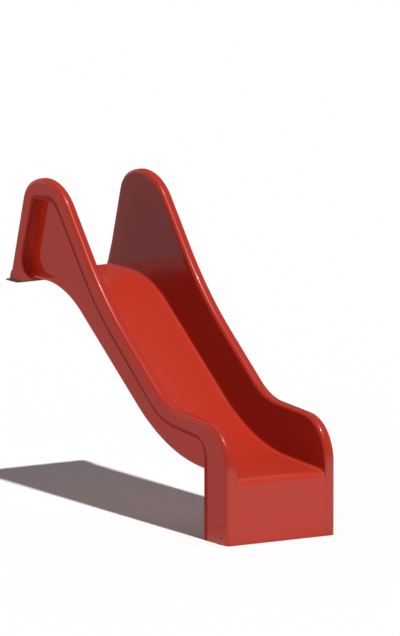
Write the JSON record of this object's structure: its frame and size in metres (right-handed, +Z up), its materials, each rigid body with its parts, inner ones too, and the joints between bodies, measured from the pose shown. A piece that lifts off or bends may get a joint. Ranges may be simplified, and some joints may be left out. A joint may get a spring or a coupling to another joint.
{
  "type": "slide",
  "caption": "Fibreglass slide for a low play platform: one moulding with high side hoods, rounded outward rims with a deep edge band, an S-shaped bed and a box foot.",
  "frame": {"origin": "on the ground, under the middle of the overall box", "axes": "+X toward the exit, +Y to the left of a child sliding down, +Z up"},
  "size_m": [1.808, 0.554, 1.3572],
  "materials": {
    "gelcoat": "glossy red gelcoat",
    "raw_laminate": "unpainted glass-fibre laminate",
    "backing_board": "resin-coated plywood",
    "galvanised_steel": "dull galvanised",
    "stainless_steel": "bright"
  },
  "bodies": {
    "root": {"bed_rib_far": "raw_laminate", "bed_rib_near": "raw_laminate", "foot_bolt_far_high": "stainless_steel", "foot_bolt_far_low": "stainless_steel", "foot_bolt_near_high": "stainless_steel", "foot_bolt_near_low": "stainless_steel", "foot_bracket_far": "galvanised_steel", "foot_bracket_near": "galvanised_steel", "foot_nut_far_high": "stainless_steel", "foot_nut_far_low": "stainless_steel", "foot_nut_near_high": "stainless_steel", "foot_nut_near_low": "stainless_steel", "foot_washer_far_high": "stainless_steel", "foot_washer_far_low": "stainless_steel", "foot_washer_near_high": "stainless_steel", "foot_washer_near_low": "stainless_steel", "slide_shell": "gelcoat", "start_board": "backing_board", "start_bolt_1": "stainless_steel", "start_bolt_2": "stainless_steel", "start_bolt_3": "stainless_steel", "start_nut_1": "stainless_steel", "start_nut_2": "stainless_steel", "start_nut_3": "stainless_steel", "start_plate": "galvanised_steel"}
  },
  "joints": []
}
